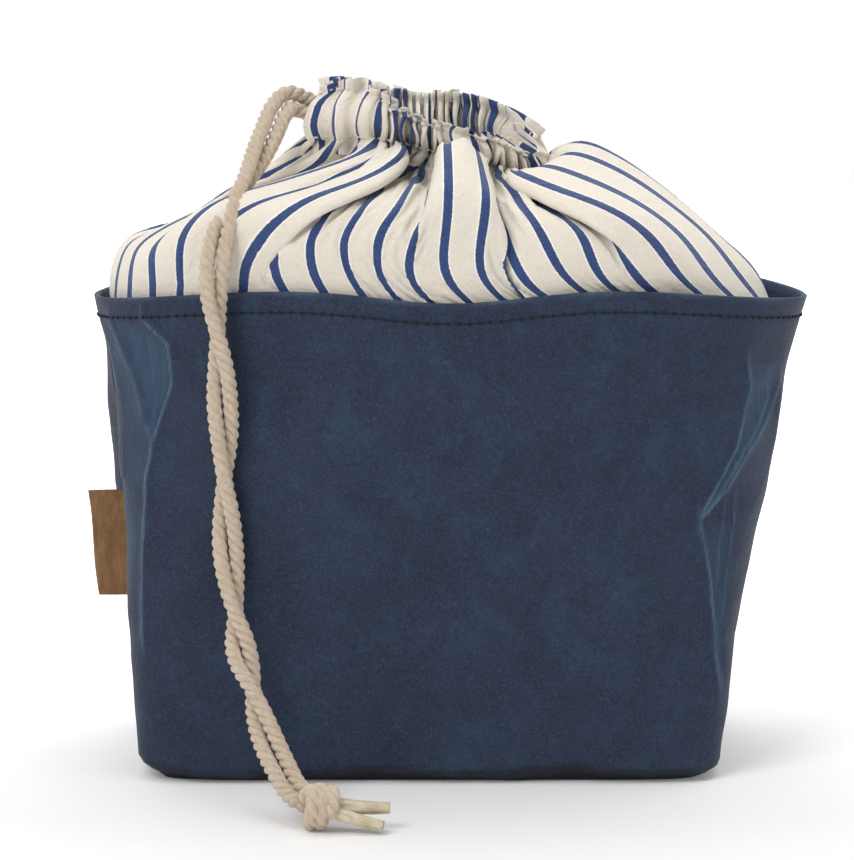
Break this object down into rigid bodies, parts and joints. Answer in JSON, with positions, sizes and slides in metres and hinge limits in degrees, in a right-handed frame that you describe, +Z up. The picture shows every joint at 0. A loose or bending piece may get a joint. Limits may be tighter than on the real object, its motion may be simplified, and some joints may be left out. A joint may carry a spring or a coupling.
{
  "type": "drawstring bag",
  "caption": "Box-bottomed bag of navy washable paper holding a striped cotton drawstring liner with a gathered neck and a twisted knotted cord.",
  "frame": {"origin": "centre of the rim's outline in plan, on the ground under the bag", "axes": "+X to the viewer's right along the bag's width, +Y from the front to the back, +Z up"},
  "size_m": [0.2415, 0.1921, 0.2252],
  "materials": {
    "washable_paper": "matte, creased, mottled like worn leather",
    "dark_thread": "matte twisted thread",
    "kraft_paper": "matte kraft paper",
    "striped_cotton": "matte plain weave, cream with narrow blue stripes",
    "white_thread": "matte twisted thread",
    "cotton_cord": "matte laid cotton cord",
    "waxed_cord_end": "stiffened cotton cord end, slight sheen"
  },
  "bodies": {
    "shell": {"front_panel": "washable_paper", "back_panel": "washable_paper", "base_panel": "washable_paper", "rim_hem_front": "washable_paper", "rim_hem_back": "washable_paper", "hem_stitching": "dark_thread", "left_seam_allowance": "washable_paper", "right_seam_allowance": "washable_paper"},
    "label": {"label_tab": "kraft_paper"},
    "liner": {"liner_front": "striped_cotton", "liner_back": "striped_cotton", "liner_base": "striped_cotton", "casing_outer": "striped_cotton", "casing_inner": "striped_cotton", "casing_header": "striped_cotton", "upper_stitch_row": "white_thread", "lower_stitch_row": "white_thread", "exit_bar_tacks": "white_thread", "drawstring_loop": "cotton_cord"},
    "tails": {"cord_tail_a": "cotton_cord", "cord_tail_b": "cotton_cord", "cord_knot": "cotton_cord", "cord_end_a": "waxed_cord_end", "cord_end_b": "waxed_cord_end"}
  },
  "joints": [
    {"name": "liner_lift", "type": "slide", "parent": "shell", "child": "liner", "axis": [0, 0, 1], "range_m": [0, 0.17]},
    {"name": "tails_swing", "type": "hinge", "parent": "liner", "child": "tails", "pos_m": [-0.0485, 0, 0.217], "axis": [-1, 0, 0], "range_deg": [0, 75]},
    {"name": "label_fold", "type": "hinge", "parent": "shell", "child": "label", "pos_m": [-0.1032, 0, 0.052], "axis": [-0.0928, 0, 0.9957], "range_deg": [-40, 40], "stiffness_Nm_per_rad": 0.0005}
  ]
}
